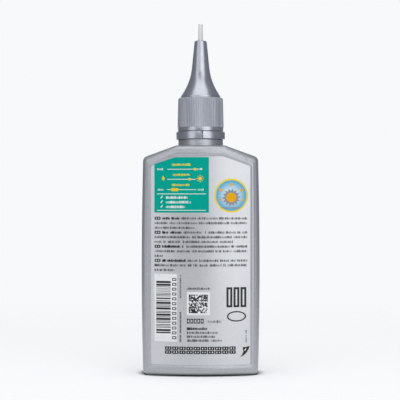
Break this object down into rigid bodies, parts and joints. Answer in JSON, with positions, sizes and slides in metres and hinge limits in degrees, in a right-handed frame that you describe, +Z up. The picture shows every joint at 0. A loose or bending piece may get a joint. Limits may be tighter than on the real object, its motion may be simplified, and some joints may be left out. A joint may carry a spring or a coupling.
{
  "type": "chain lube bottle",
  "caption": "Flat plastic bottle of chain oil with bowed label panels, a snap ring and a ribbed screw cap that runs up into a long cone with a thin dosing tube.",
  "frame": {"origin": "on the floor under the middle of the bottle, at the centre of its foot", "axes": "+Z up along the axis of the neck, -Y out of the face that carries the label, +X to the right seen from that face"},
  "size_m": [0.0562, 0.028, 0.1682],
  "materials": {
    "silver_plastic": "silver pigmented plastic, satin, with a fine metal flake",
    "closure_plastic": "darker silver pigmented plastic, glossy",
    "label_film": "printed silver film, satin",
    "clear_tube": "natural translucent plastic, soft",
    "oil": "clear amber oil"
  },
  "bodies": {
    "vessel": {"bottle": "silver_plastic", "lubricant": "oil", "label": "label_film", "tamper_ring": "closure_plastic"},
    "tube": {"dosing_tube": "clear_tube"},
    "cap": {"spout_cap": "closure_plastic"}
  },
  "joints": [
    {"name": "cap_lift", "type": "slide", "parent": "vessel", "child": "tube", "axis": [0, 0, 1], "range_m": [0, 0.00451]},
    {"name": "cap_turn", "type": "hinge", "parent": "tube", "child": "cap", "pos_m": [0, 0, 0.125], "axis": [0, 0, 1], "range_deg": [0, 540]}
  ],
  "couplings": [
    {"joint": "cap_lift", "follows": "cap_turn", "m_per_rad": 0.00047746}
  ]
}
